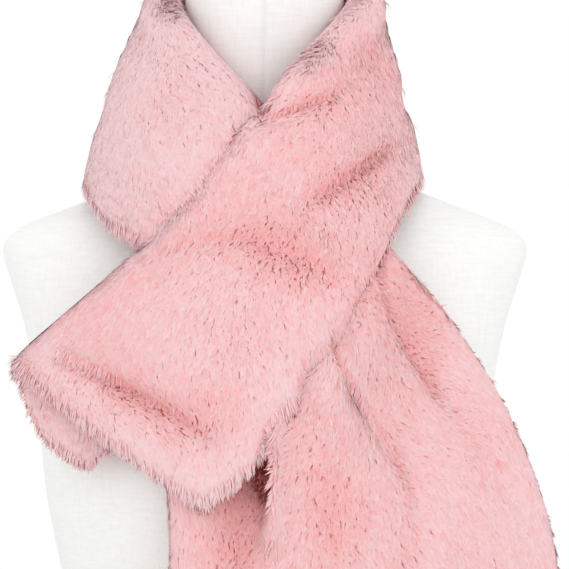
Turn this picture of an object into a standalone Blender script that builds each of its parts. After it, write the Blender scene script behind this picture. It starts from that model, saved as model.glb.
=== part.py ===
"""A faux fur stole worn on a limbless dress form. Metres, +Z up; the form faces -Y.

The form is a smooth covered torso that stands on its flat base, whose centre is the origin.
The stole is one long strip of double-faced fur. It goes round the neck, and its two ends cross
on the chest. Round the neck and down the front end one side of it is turned under, so that the
cloth lies double, with the fold along the neck edge. The tail comes out from under the front
end, where the turned side opens out again, and hangs at the whole width of the strip.

Each stretch of the strip is a wall lofted through a few sections. A section is a row of a
table: where its two edges are, how far it swells between them and what it lies on.
"""

from collections import namedtuple
from math import cos, pi, sin

import bmesh
import bpy
import numpy as np

# ---------------------------------------------------------------- driving sizes
PLY = 0.013  # one thickness of the fur: its two backings and the pile on both sides
SLIT = 0.001  # air between the cloth and its turned-under side
SEAM_GAP = 0.0003  # between one stretch of the strip and the next
TURNED_WIDTH = 0.155  # width of the doubled cloth
TURN_UNDER = 0.103  # width of the side that is turned under
TAIL_WIDTH = 0.25  # of the strip where it hangs open
UNDERSIDE_DROP = 0.028  # how far the turned-under side hangs below the front end's hem
DROP_REACH = 0.10  # how far up the front end that difference begins
FOLD_DROP = 0.35  # share of it at the fold, where it is least
HEM_SWELL = 1.3  # the sewn ends are this much thicker than the cloth
HEM_REACH = 0.022  # how far from the end that swelling goes
HEM_ROUND = 0.010  # how far from a sewn end its edge begins to round off
EDGE_ROUND = PLY / 2  # the same at the sides
LEAST_EDGE = 0.28  # thickness left at the very edge, as a share of the whole
FORM_CLEARANCE = 0.0010  # between the cloth and the form

TURN_RADIUS = (PLY + SLIT) / 2  # of the cloth's middle as it turns under
TURN_START = TURN_RADIUS + PLY / 2  # from the fold's outside to where the turn begins

FUR_COLOUR = (0.86, 0.50, 0.51, 1.0)
FUR_ROUGHNESS = 0.9
LINEN_COLOUR = (0.86, 0.83, 0.78, 1.0)
LINEN_ROUGHNESS = 0.85
SMOOTH_ANGLE = pi / 3  # faces that meet more sharply than this keep a hard edge

# ---------------------------------------------------------------- the dress form
Ring = namedtuple("Ring", "height half_width half_depth centre_y")
FORM_RINGS = (
    Ring(0.000, 0.152, 0.106, 0.012),
    Ring(0.006, 0.158, 0.112, 0.012),
    Ring(0.060, 0.149, 0.106, 0.010),
    Ring(0.110, 0.131, 0.096, 0.007),
    Ring(0.155, 0.120, 0.089, 0.005),
    Ring(0.205, 0.126, 0.094, 0.003),
    Ring(0.260, 0.139, 0.103, 0.000),
    Ring(0.310, 0.149, 0.110, -0.001),
    Ring(0.350, 0.153, 0.110, 0.001),
    Ring(0.390, 0.157, 0.103, 0.005),
    Ring(0.430, 0.166, 0.093, 0.010),
    Ring(0.460, 0.176, 0.084, 0.013),
    Ring(0.478, 0.180, 0.077, 0.015),
    Ring(0.490, 0.168, 0.071, 0.016),
    Ring(0.502, 0.138, 0.067, 0.017),
    Ring(0.514, 0.107, 0.063, 0.017),
    Ring(0.526, 0.083, 0.060, 0.016),
    Ring(0.540, 0.068, 0.058, 0.014),
    Ring(0.558, 0.059, 0.057, 0.011),
    Ring(0.590, 0.0545, 0.056, 0.008),
    Ring(0.630, 0.0540, 0.056, 0.005),
    Ring(0.668, 0.0545, 0.057, 0.003),
    Ring(0.674, 0.0500, 0.052, 0.003),
)
FORM_COLUMNS = 36
BUST_X = 0.078  # each side of the middle
BUST_HEIGHT = 0.330
BUST_REACH = 0.020  # how far it stands out
BUST_WIDTH = 0.055
BUST_TALL = 0.060

# ---------------------------------------------------------------- the stole
# near: the edge at the neck, which is the fold. far: the outer edge. swell: how far the cloth
# bows out between them. under_near, under_far: thickness of the cloth that lies under it.
Section = namedtuple("Section", "near far swell under_near under_far")
ROUND_NECK = (
    Section((0.046, -0.070, 0.524), (-0.068, -0.084, 0.440), 0.003, 0.0, 0.0),
    Section((0.009, -0.070, 0.561), (-0.077, -0.072, 0.475), 0.006, 0.0, 0.0),
    Section((-0.024, -0.060, 0.596), (-0.102, -0.056, 0.491), 0.013, 0.0, 0.0),
    Section((-0.050, -0.038, 0.626), (-0.117, -0.020, 0.512), 0.011, 0.0, 0.0),
    Section((-0.067, 0.006, 0.656), (-0.115, 0.030, 0.512), 0.010, 0.0, 0.0),
    Section((-0.050, 0.056, 0.668), (-0.080, 0.086, 0.506), 0.008, 0.0, 0.0),
    Section((0.000, 0.079, 0.670), (0.000, 0.112, 0.505), 0.006, 0.0, 0.0),
    Section((0.050, 0.056, 0.668), (0.078, 0.086, 0.508), 0.008, 0.0, 0.0),
    Section((0.066, 0.006, 0.657), (0.103, 0.026, 0.519), 0.004, 0.0, 0.0),
    Section((0.051, -0.038, 0.630), (0.101, -0.026, 0.515), 0.003, 0.002, 0.0),
    Section((0.027, -0.078, 0.602), (0.083, -0.086, 0.487), 0.008, 0.022, 0.008),
    Section((-0.002, -0.104, 0.570), (0.073, -0.112, 0.462), 0.013, 0.033, 0.022),
    Section((-0.040, -0.113, 0.526), (0.055, -0.134, 0.427), 0.012, 0.033, 0.024),
    Section((-0.076, -0.112, 0.483), (0.031, -0.153, 0.388), 0.013, 0.025, 0.024),
    Section((-0.117, -0.097, 0.449), (0.001, -0.166, 0.343), 0.017, 0.008, 0.024),
    Section((-0.149, -0.083, 0.422), (-0.020, -0.168, 0.321), 0.018, 0.002, 0.022),
    Section((-0.170, -0.074, 0.401), (-0.038, -0.164, 0.308), 0.016, 0.0, 0.020),
)
TAIL = (
    Section((-0.068, -0.086, 0.436), (0.046, -0.070, 0.520), 0.002, 0.0, 0.0),
    Section((-0.067, -0.098, 0.388), (0.082, -0.074, 0.476), 0.008, 0.0, 0.0),
    Section((-0.064, -0.114, 0.345), (0.111, -0.076, 0.442), 0.022, 0.0, 0.0),
    Section((-0.061, -0.124, 0.313), (0.134, -0.076, 0.409), 0.028, 0.0, 0.0),
    Section((-0.060, -0.128, 0.282), (0.155, -0.078, 0.374), 0.030, 0.0, 0.0),
    Section((-0.060, -0.128, 0.246), (0.175, -0.082, 0.330), 0.030, 0.0, 0.0),
    Section((-0.060, -0.126, 0.210), (0.190, -0.086, 0.278), 0.028, 0.0, 0.0),
    Section((-0.059, -0.124, 0.172), (0.194, -0.090, 0.222), 0.026, 0.0, 0.0),
)

# Where each stretch of the cloth that goes round the neck begins and ends, in rows of its table,
# and how many lines of points it has.
Stretch = namedtuple("Stretch", "name first last lines")
STRETCHES = (
    Stretch("collar_left", 0.0, 4.0, 13),
    Stretch("collar_back", 4.0, 8.0, 13),
    Stretch("collar_right", 8.0, 11.5, 12),
    Stretch("front_end", 11.5, 16.0, 15),
)
ROUND_NECK_COLUMNS = 11
UNDERSIDE_COLUMNS = 6
TURN_ANGLES = (0.25 * pi, 0.5 * pi, 0.75 * pi)
TAIL_LINES = 22
TAIL_COLUMNS = 26
HEM_LINES = (0.010, 0.004, 0.001)  # extra lines of points this far before a sewn end

# Creases and soft troughs: a line on the front, from one point to another, with the half width
# and the depth of the hollow along it.
Crease = namedtuple("Crease", "x0 z0 x1 z1 half_width depth")
FRONT_CREASES = (
    Crease(0.004, 0.560, 0.046, 0.577, 0.008, 0.006),
    Crease(0.036, 0.500, 0.088, 0.540, 0.016, 0.009),
    Crease(-0.012, 0.482, 0.046, 0.457, 0.014, 0.006),
    Crease(-0.115, 0.396, -0.036, 0.355, 0.013, 0.009),
    Crease(-0.072, 0.474, -0.071, 0.438, 0.010, 0.003),
)
TAIL_CREASES = (
    Crease(0.078, 0.470, 0.112, 0.376, 0.010, 0.011),
    Crease(0.048, 0.425, 0.092, 0.318, 0.011, 0.013),
)
BACK_CREASES = (
    Crease(-0.050, 0.640, -0.030, 0.540, 0.014, 0.005),
    Crease(0.034, 0.620, 0.062, 0.530, 0.013, 0.006),
)
CREASE_ENDS = (0.12, 0.88)  # shares of half a sine wave that fade a crease towards its ends

# The pleat down the tail: the cloth right of this line stands out over the cloth left of it by
# rise, turns in over a strip of half width turn, and comes back level over the width given.
Pleat = namedtuple("Pleat", "x0 z0 x1 z1 rise turn width")
TAIL_PLEAT = Pleat(0.000, 0.400, -0.001, 0.172, 0.026, 0.006, 0.110)


def curve_through(rows, places):
    """The rows of numbers, read at whole and part rows along one smooth curve."""
    slopes = np.gradient(rows, axis=0)
    low = np.clip(np.floor(places).astype(int), 0, len(rows) - 2)
    share = (places - low)[..., None]
    square, cube = share**2, share**3
    return (
        rows[low] * (2 * cube - 3 * square + 1)
        + slopes[low] * (cube - 2 * square + share)
        + rows[low + 1] * (3 * square - 2 * cube)
        + slopes[low + 1] * (cube - square)
    )


def ring_sizes(height):
    """Half width, half depth and middle of the form at these heights."""
    rings = np.array(FORM_RINGS)
    places = np.interp(height, rings[:, 0], np.arange(len(rings)))
    curve = curve_through(rings, places)
    return curve[..., 1], curve[..., 2], curve[..., 3]


def bust(x, height):
    """How far the bust stands out in front of the plain torso. It fades out at the sides."""
    half_width = ring_sizes(height)[0]
    facing = np.sqrt(np.clip(1 - (x / half_width) ** 2, 0, 1))
    across = np.exp(-(((np.abs(x) - BUST_X) / BUST_WIDTH) ** 2))
    along = np.exp(-(((height - BUST_HEIGHT) / BUST_TALL) ** 2))
    return BUST_REACH * across * along * np.minimum(1, 3 * facing)


def outside_form(points):
    """Above 0 outside the form, below 0 inside it; a share of the form's size, not a length."""
    x, y = points[..., 0], points[..., 1]
    height = np.clip(points[..., 2], FORM_RINGS[0].height, FORM_RINGS[-1].height)
    half_width, half_depth, centre = ring_sizes(height)
    y = np.where(y < centre, y + bust(x, height), y)
    return np.sqrt((x / half_width) ** 2 + ((y - centre) / half_depth) ** 2) - 1


def clear_of_form(points, distance):
    """The points, each moved straight out of the form until it is that far from it."""
    rounds, probe, longest_move = 4, 1e-4, 0.03
    points = points.copy()
    for _ in range(rounds):
        level = outside_form(points)
        slope = np.stack(
            [(outside_form(points + probe * axis) - level) / probe for axis in np.eye(3)],
            axis=-1,
        )
        steepness = np.maximum(np.linalg.norm(slope, axis=-1), 1e-6)
        short = np.clip(distance - level / steepness, 0, longest_move)
        points += (short / steepness)[..., None] * slope
    return points


def unit(vectors):
    """The vectors at length 1."""
    return vectors / np.linalg.norm(vectors, axis=-1, keepdims=True)


def normals_of(grid):
    """The outward direction at each point of a sheet."""
    return unit(np.cross(np.gradient(grid, axis=0), np.gradient(grid, axis=1)))


def smoothed(grid):
    """The sheet with the sharpest steps between its sections evened out, its edges kept."""
    grid = grid.copy()
    for _ in range(2):
        around = grid[:-2, 1:-1] + grid[2:, 1:-1] + grid[1:-1, :-2] + grid[1:-1, 2:]
        grid[1:-1, 1:-1] = (grid[1:-1, 1:-1] + around / 4) / 2
    return grid


def crease_depth(points, creases):
    """How deep the creases are at each point, from its distance to each crease's line."""
    depth = np.zeros(points.shape[:-1])
    for crease in creases:
        start = np.array([crease.x0, crease.z0])
        run = np.array([crease.x1, crease.z1]) - start
        offset = points[..., [0, 2]] - start
        share = np.clip(offset @ run / (run @ run), 0, 1)
        distance = np.linalg.norm(offset - share[..., None] * run, axis=-1)
        fade = np.sin(pi * np.interp(share, (0, 1), CREASE_ENDS))
        depth += crease.depth * fade * np.exp(-((distance / crease.half_width) ** 2))
    return depth


def pleat_rise(points, pleat):
    """How far the pleat stands out at each point, from its distance to the pleat's line."""
    height = points[..., 2]
    beyond = points[..., 0] - np.interp(height, (pleat.z1, pleat.z0), (pleat.x1, pleat.x0))
    fade = np.sqrt(np.clip((pleat.z0 - height) / (pleat.z0 - pleat.z1), 0, 1))
    step = 0.5 * (1 + np.tanh(beyond / pleat.turn))
    return pleat.rise * fade * step * np.exp(-((np.maximum(beyond, 0) / pleat.width) ** 2))


def sheet(table, places, shares, doubled):
    """The middle of the cloth as a grid of points: a line of them across it at each place."""
    rows = np.array([np.hstack([np.ravel(cell) for cell in row]) for row in table])
    read = curve_through(rows, np.array(places))
    near, far = read[:, 0:3], read[:, 3:6]
    swell, under_near, under_far = read[:, 6], read[:, 7], read[:, 8]
    across = far - near
    out = unit(np.cross(np.gradient((near + far) / 2, axis=0), across))
    bow = swell[:, None] * np.sin(pi * shares)
    grid = near[:, None] + across[:, None] * shares[:, None] + out[:, None] * bow[..., None]
    # What is under each point: cloth that crosses here, and this strip's own turned side.
    under = under_near[:, None] * (1 - shares) + under_far[:, None] * shares
    if doubled:
        from_fold = np.linalg.norm(across, axis=1)[:, None] * shares
        under += (PLY + SLIT) * np.clip((TURN_UNDER + PLY - from_fold) / PLY, 0, 1)
    rest = PLY / 2 + FORM_CLEARANCE + under
    return clear_of_form(smoothed(clear_of_form(grid, rest)), rest)


def underside_drop(fold):
    """How much further along the strip the turned-under side lies, at each point of the fold."""
    lengths = np.linalg.norm(np.diff(fold, axis=0), axis=-1)
    from_end = lengths.sum() - np.hstack([0.0, np.cumsum(lengths)])
    drop = UNDERSIDE_DROP * np.clip(1 - from_end / DROP_REACH, 0, 1) ** 2
    return unit(np.gradient(fold, axis=0)) * drop[:, None]


def read_across(distance, values, reach):
    """The values that a sheet has this far from the start of each of its lines."""
    return np.array(
        [[np.interp(reach, d, v[:, axis]) for axis in range(3)] for d, v in zip(distance, values)]
    )


def turned_under(grid, normals):
    """Adds the fold and the turned-under side to a sheet, whose first column is the fold's."""
    fold, fold_out = grid[:, 0], normals[:, 0]
    drop = underside_drop(fold)
    inward = unit(grid[:, 1] - grid[:, 0])
    centre = fold - fold_out * TURN_RADIUS
    points = list(np.moveaxis(grid[:, ::-1], 1, 0))
    outs = list(np.moveaxis(normals[:, ::-1], 1, 0))
    for angle in TURN_ANGLES:
        direction = fold_out * cos(angle) - inward * sin(angle)
        points.append(centre + direction * TURN_RADIUS + drop * FOLD_DROP * (angle / pi))
        outs.append(direction)
    steps = np.linalg.norm(np.diff(grid, axis=1), axis=-1)
    distance = np.hstack([np.zeros((len(grid), 1)), np.cumsum(steps, axis=1)])
    for share in np.linspace(0, 1, UNDERSIDE_COLUMNS):
        reach = share * (TURN_UNDER - TURN_START)
        out = unit(read_across(distance, normals, reach))
        hang = FOLD_DROP + (1 - FOLD_DROP) * sin(0.75 * pi * share)
        points.append(read_across(distance, grid, reach) - out * 2 * TURN_RADIUS + drop * hang)
        outs.append(-out)
    return np.stack(points, axis=1), np.stack(outs, axis=1)


def rounding(distance, reach):
    """Share of the full thickness this far from a free edge, for an edge of this roundness."""
    inside = 1 - np.clip(distance / reach, 0, 1)
    return LEAST_EDGE + (1 - LEAST_EDGE) * np.sqrt(1 - inside**2)


def thicknesses(grid):
    """Thickness at each point: rounded at the sides and at the sewn end, which is the last line."""
    widths = np.linalg.norm(np.diff(grid, axis=1), axis=-1)
    from_side = np.hstack([np.zeros((len(grid), 1)), np.cumsum(widths, axis=1)])
    from_other = from_side[:, -1:] - from_side
    lengths = np.linalg.norm(np.diff(grid, axis=0), axis=-1)
    from_start = np.vstack([np.zeros((1, grid.shape[1])), np.cumsum(lengths, axis=0)])
    from_end = from_start[-1:] - from_start
    sides = rounding(from_side, EDGE_ROUND) * rounding(from_other, EDGE_ROUND)
    hem = 1 + (HEM_SWELL - 1) * np.exp(-(((from_end - PLY) / HEM_REACH) ** 2))
    return PLY * sides * hem * rounding(from_end, HEM_ROUND)


def places_along(table, first, last, lines):
    """Places along a table to put lines of points at, with more just before a sewn end."""
    places = list(np.linspace(first, last, lines))
    if last == len(table) - 1:
        row_length = np.linalg.norm(np.subtract(table[-1].far, table[-2].far))
        places[-1:] = [last - reach / row_length for reach in HEM_LINES] + [last]
    return places


def across_shares(count, width, start=0.0):
    """Shares of the width to put points at: closer at a free edge, none before the start."""
    ease = np.array([0.0, 0.3 * EDGE_ROUND, EDGE_ROUND])
    first = np.array([start]) if start else ease
    middle = np.linspace(first[-1], width - EDGE_ROUND, count)[1:-1]
    return np.hstack([first, middle, width - ease[::-1]]) / width


def material(name, colour, roughness):
    """A plain material of this colour."""
    made = bpy.data.materials.new(name)
    made.use_nodes = True
    shader = made.node_tree.nodes["Principled BSDF"]
    shader.inputs["Base Color"].default_value = colour
    shader.inputs["Roughness"].default_value = roughness
    shader.inputs["Metallic"].default_value = 0.0
    made.diffuse_color = colour
    return made


def add_object(name, builder, finish, collection):
    """A named object from a bmesh, smooth except where its faces meet sharply."""
    mesh = bpy.data.meshes.new(name)
    bmesh.ops.recalc_face_normals(builder, faces=builder.faces)
    builder.to_mesh(mesh)
    builder.free()
    mesh.materials.append(finish)
    mesh.shade_smooth()
    mesh.set_sharp_from_angle(angle=SMOOTH_ANGLE)
    collection.objects.link(bpy.data.objects.new(name, mesh))


def wall(name, grid, normals, thick, finish, collection):
    """A closed wall of cloth on both sides of a sheet."""
    builder = bmesh.new()
    half = normals * (thick / 2)[..., None]
    outer = [[builder.verts.new(point) for point in line] for line in grid + half]
    inner = [[builder.verts.new(point) for point in line] for line in grid - half]
    lines, columns = len(grid), len(grid[0])
    for i in range(lines - 1):
        for j in range(columns - 1):
            for side in (outer, inner):
                builder.faces.new((side[i][j], side[i][j + 1], side[i + 1][j + 1], side[i + 1][j]))
        for j in (0, columns - 1):
            builder.faces.new((outer[i][j], outer[i + 1][j], inner[i + 1][j], inner[i][j]))
    for i in (0, lines - 1):
        for j in range(columns - 1):
            builder.faces.new((outer[i][j], outer[i][j + 1], inner[i][j + 1], inner[i][j]))
    add_object(name, builder, finish, collection)


def build_round_neck(finish, collection):
    """The doubled cloth: one sheet from the hidden crossing to the hem, cut into its stretches."""
    places, firsts = [], []
    for stretch in STRETCHES:
        firsts.append(max(len(places) - 1, 0))
        places = places[:-1] + places_along(ROUND_NECK, stretch.first, stretch.last, stretch.lines)
    shares = across_shares(ROUND_NECK_COLUMNS, TURNED_WIDTH, TURN_START)
    grid = sheet(ROUND_NECK, places, shares, doubled=True)
    in_front = grid[..., 1] < 0
    hollow = np.where(in_front, crease_depth(grid, FRONT_CREASES), crease_depth(grid, BACK_CREASES))
    grid = grid - normals_of(grid) * hollow[..., None]
    grid, normals = turned_under(grid, normals_of(grid))
    thick = thicknesses(grid)
    for stretch, first, last in zip(STRETCHES, firsts, firsts[1:] + [len(places) - 1]):
        cut = slice(first, last + 1)
        lines = grid[cut].copy()
        lines[0] += unit(lines[1] - lines[0]) * SEAM_GAP
        wall(stretch.name, lines, normals[cut], thick[cut], finish, collection)


def build_tail(finish, collection):
    """The single cloth that comes out from under the front end and hangs, with its pleat."""
    places = places_along(TAIL, 0, len(TAIL) - 1, TAIL_LINES)
    grid = sheet(TAIL, places, across_shares(TAIL_COLUMNS, TAIL_WIDTH), doubled=False)
    relief = pleat_rise(grid, TAIL_PLEAT) - crease_depth(grid, TAIL_CREASES)
    grid = clear_of_form(grid + normals_of(grid) * relief[..., None], PLY / 2 + FORM_CLEARANCE)
    wall("tail", grid, normals_of(grid), thicknesses(grid), finish, collection)


def build_form(finish, collection):
    """The torso and neck, lofted through level rings and closed at the base and the neck."""
    builder = bmesh.new()
    heights = [ring.height for ring in FORM_RINGS]
    between = [(low + high) / 2 for low, high in zip(heights[1:-2], heights[2:-1])]
    rings = []
    for height in sorted(heights + between):
        half_width, half_depth, centre = ring_sizes(np.array(height))
        turns = 2 * pi * np.arange(FORM_COLUMNS) / FORM_COLUMNS
        x = half_width * np.sin(turns)
        y = centre - half_depth * np.cos(turns)
        y = np.where(np.cos(turns) > 0, y - bust(x, np.full(FORM_COLUMNS, height)), y)
        rings.append([builder.verts.new((px, py, height)) for px, py in zip(x, y)])
    for low, high in zip(rings, rings[1:]):
        for j in range(FORM_COLUMNS):
            k = (j + 1) % FORM_COLUMNS
            builder.faces.new((low[j], low[k], high[k], high[j]))
    builder.faces.new(rings[0][::-1])
    builder.faces.new(rings[-1])
    add_object("dress_form", builder, finish, collection)


def main():
    """Clears the scene and builds the form and every stretch of the stole."""
    for old in list(bpy.data.objects):
        bpy.data.objects.remove(old)
    collection = bpy.data.collections.new("faux_fur_stole_on_dress_form")
    bpy.context.scene.collection.children.link(collection)
    fur = material("pink_faux_fur", FUR_COLOUR, FUR_ROUGHNESS)
    linen = material("cream_linen", LINEN_COLOUR, LINEN_ROUGHNESS)
    build_form(linen, collection)
    build_round_neck(fur, collection)
    build_tail(fur, collection)


main()
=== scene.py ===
"""The looks of a plush faux fur stole worn on a linen-covered dress form.

Metres, +Z up; the form faces -Y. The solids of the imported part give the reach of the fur. Inside
them lies a thin backing, and out of the backing grows the pile, blade by blade, combed the way a
hand has left it. The dress form gets a fitted linen cover with its seams.
"""

import logging
import math
from collections.abc import Iterator
from contextlib import contextmanager
from dataclasses import astuple, dataclass, field, fields
from enum import Enum

import bpy
import numpy as np
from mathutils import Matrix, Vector, noise
from mathutils.bvhtree import BVHTree
from mathutils.kdtree import KDTree


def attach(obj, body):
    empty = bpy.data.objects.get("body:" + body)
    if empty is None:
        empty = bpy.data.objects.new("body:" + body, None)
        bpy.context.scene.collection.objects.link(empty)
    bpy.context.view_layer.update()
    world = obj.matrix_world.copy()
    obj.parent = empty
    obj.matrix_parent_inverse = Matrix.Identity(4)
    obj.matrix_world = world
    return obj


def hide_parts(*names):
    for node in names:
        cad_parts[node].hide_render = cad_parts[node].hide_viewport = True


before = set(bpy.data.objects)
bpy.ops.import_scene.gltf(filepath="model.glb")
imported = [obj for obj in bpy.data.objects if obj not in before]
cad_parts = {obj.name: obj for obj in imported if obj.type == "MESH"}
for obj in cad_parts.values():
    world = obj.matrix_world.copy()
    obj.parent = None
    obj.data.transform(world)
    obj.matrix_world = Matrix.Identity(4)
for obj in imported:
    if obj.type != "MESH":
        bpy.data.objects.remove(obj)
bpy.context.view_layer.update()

log = logging.getLogger("stole")

MM = 0.001
BODY = "root"
USUAL_HOLLOW = 3 * MM
Colour = tuple[float, float, float, float]
Piece = bpy.types.Object
Mesh = bpy.types.Mesh
Socket = bpy.types.NodeSocket
Rows = np.ndarray  # a number or a row of numbers for each vertex, face or blade


class Stretch(Enum):
    """The stretches of the strip that show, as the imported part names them."""

    COLLAR_LEFT = "collar_left"
    COLLAR_BACK = "collar_back"
    COLLAR_RIGHT = "collar_right"
    FRONT_END = "front_end"
    TAIL = "tail"


# ------------------------------------------------------------------ modelling by hand, in code
def choose(*objects: Piece) -> None:
    """Selects these objects alone and makes the first one active."""
    bpy.ops.object.select_all(action="DESELECT")
    for one in objects:
        one.select_set(True)
    bpy.context.view_layer.objects.active = objects[0]


@contextmanager
def editing(piece: Piece, mode: str = "VERT", whole: bool = True) -> Iterator[None]:
    """Opens a piece in edit mode.

    Args:
        piece: the object to open.
        mode: VERT, EDGE or FACE, what a selection is made of.
        whole: selects all of it; otherwise what its mesh has selected stays so.
    """
    choose(piece)
    bpy.ops.object.mode_set(mode="EDIT")
    bpy.ops.mesh.select_mode(type=mode)
    if whole:
        bpy.ops.mesh.select_all(action="SELECT")
    try:
        yield
    finally:
        bpy.ops.object.mode_set(mode="OBJECT")


def rows_of(group: bpy.types.bpy_prop_collection, what: str) -> Rows:
    """Three numbers for each item of a mesh's collection.

    Args:
        group: the collection, such as its vertices.
        what: the name of what is read.

    Returns:
        A row for each item.
    """
    flat = np.empty(3 * len(group), np.float32)
    group.foreach_get(what, flat)
    return flat.reshape(-1, 3).astype(float)


def points_of(mesh: Mesh) -> Rows:
    """The mesh's points, a row of three for each vertex."""
    return rows_of(mesh.vertices, "co")


def normals_of(mesh: Mesh) -> Rows:
    """The way out of the surface at each vertex, of length one."""
    return rows_of(mesh.vertex_normals, "vector")


def triangles_of(mesh: Mesh) -> Rows:
    """The mesh's triangles, by their vertices' numbers."""
    mesh.calc_loop_triangles()
    return np.array([t.vertices for t in mesh.loop_triangles], int)


def put_points(mesh: Mesh, points: Rows) -> None:
    """Moves the mesh's vertices to these points."""
    mesh.vertices.foreach_set("co", points.astype(np.float32).ravel())
    mesh.update()


def unit(vectors: Rows) -> Rows:
    """The same directions at length one."""
    return vectors / np.maximum(np.linalg.norm(vectors, axis=-1, keepdims=True), 1e-9)


def linked(name: str, data: bpy.types.ID) -> Piece:
    """A new object in the scene.

    Args:
        name: what it is called.
        data: its mesh, lamp or lens.

    Returns:
        The object, at the origin.
    """
    piece = bpy.data.objects.new(name, data)
    bpy.context.scene.collection.objects.link(piece)
    return piece


def merged_copy(node: str, name: str) -> Piece:
    """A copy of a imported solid, its loose triangles merged, free of the frame.

    Args:
        node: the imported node.
        name: what the copy is called.

    Returns:
        The new object, at the origin.
    """
    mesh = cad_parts[node].data.copy()
    mesh.materials.clear()
    mesh.name = name
    piece = linked(name, mesh)
    with editing(piece):
        bpy.ops.mesh.remove_doubles(threshold=0.1 * MM)
    return piece


def subdivide_smoothly(piece: Piece, levels: int) -> None:
    """Applies a Subdivision Surface.

    Args:
        piece: the object.
        levels: how often each face is split.
    """
    choose(piece)
    modifier = piece.modifiers.new("Smooth", "SUBSURF")
    modifier.levels = modifier.render_levels = levels
    bpy.ops.object.modifier_apply(modifier=modifier.name)


def smoothed(values: Rows, edges: Rows, rounds: int) -> Rows:
    """Values at vertices, evened out along the mesh's edges.

    Args:
        values: one value, or one row, for each vertex.
        edges: pairs of vertices.
        rounds: how many times each takes the mean of its neighbours and itself.

    Returns:
        The evened values.
    """
    rows = np.array(values, float).reshape(len(values), -1)
    size = len(rows)
    count = np.bincount(edges.ravel(), minlength=size) + 1.0
    for _ in range(rounds):
        sums = [
            np.bincount(edges[:, 0], column[edges[:, 1]], size)
            + np.bincount(edges[:, 1], column[edges[:, 0]], size)
            for column in rows.T
        ]
        rows = (rows + np.stack(sums, 1)) / count[:, None]
    return rows.reshape(np.shape(values))


def waves(points: Rows, size: float, seed: float) -> Rows:
    """Smooth noise, three numbers from -1 to 1 for each point.

    Args:
        points: where it is read.
        size: the distance over which it changes, in metres.
        seed: shifts the pattern.

    Returns:
        The noise.
    """
    noise.seed_set(1)  # unset, its pattern follows the clock
    shift = Vector((seed, 2.7 * seed, -1.3 * seed))
    return np.array([noise.noise_vector(Vector(p) / size + shift) for p in points])


# ------------------------------------------------------------------ finishes
class Recipe:
    """A material's node tree, put together one node at a time around a Principled shader."""

    def __init__(self, name: str) -> None:
        """Starts a material that has only its shader and output.

        Args:
            name: the material's name.
        """
        self.material = bpy.data.materials.new(name)
        self.material.use_nodes = True
        self.tree = self.material.node_tree
        self.shader = self.tree.nodes["Principled BSDF"]

    def add(self, kind: str, settings: dict | None = None, **inputs: object) -> bpy.types.Node:
        """Adds a node.

        Args:
            kind: the node's type, without ShaderNode.
            settings: its own properties.
            inputs: values or sockets for its inputs, by name, with _ for a space; i0, i1 and so
                on name an input by its place.

        Returns:
            The node.
        """
        node = self.tree.nodes.new("ShaderNode" + kind)
        for key, value in (settings or {}).items():
            setattr(node, key, value)
        for key, value in inputs.items():
            place = int(key[1:]) if key[0] == "i" and key[1:].isdigit() else key.replace("_", " ")
            self.feed(node.inputs[place], value)
        return node

    def feed(self, socket: Socket, value: object) -> None:
        """Links a socket to an input, or sets the input's value.

        Args:
            socket: the input.
            value: what it is fed.
        """
        if isinstance(value, Socket):
            self.tree.links.new(value, socket)
        else:
            socket.default_value = value

    def shade(self, **inputs: object) -> None:
        """Links or sets the shader's own inputs, by name, with _ for a space."""
        for key, value in inputs.items():
            self.feed(self.shader.inputs[key.replace("_", " ")], value)

    def ramp(self, factor: Socket, stops: dict[float, Colour]) -> Socket:
        """A colour that changes along a factor.

        Args:
            factor: what it is read by.
            stops: the colour at each place.

        Returns:
            The colour's socket.
        """
        node = self.add("ValToRGB", Fac=factor)
        elements = node.color_ramp.elements
        elements.remove(elements[1])
        elements[0].position, elements[0].color = min(stops.items())
        for place in sorted(stops)[1:]:
            elements.new(place).color = stops[place]
        return node.outputs["Color"]

    def blend(self, factor: object, first: object, second: object) -> Socket:
        """Two colours mixed by a factor, and the result's socket."""
        return self.add("Mix", {"data_type": "RGBA"}, i0=factor, i6=first, i7=second).outputs[2]

    def sums(self, operation: str, first: object, second: object) -> Socket:
        """Two numbers put together, and the result's socket."""
        return self.add("Math", {"operation": operation}, i0=first, i1=second).outputs[0]


PILE_MAP = "OFBake"  # the pile's map: blush across, painted shade and painted edge light included, from root to tip upward
GROUND_TINT = "blush"  # the backing's own attribute: the blush, with painted shade in folds and shut-in places


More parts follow.
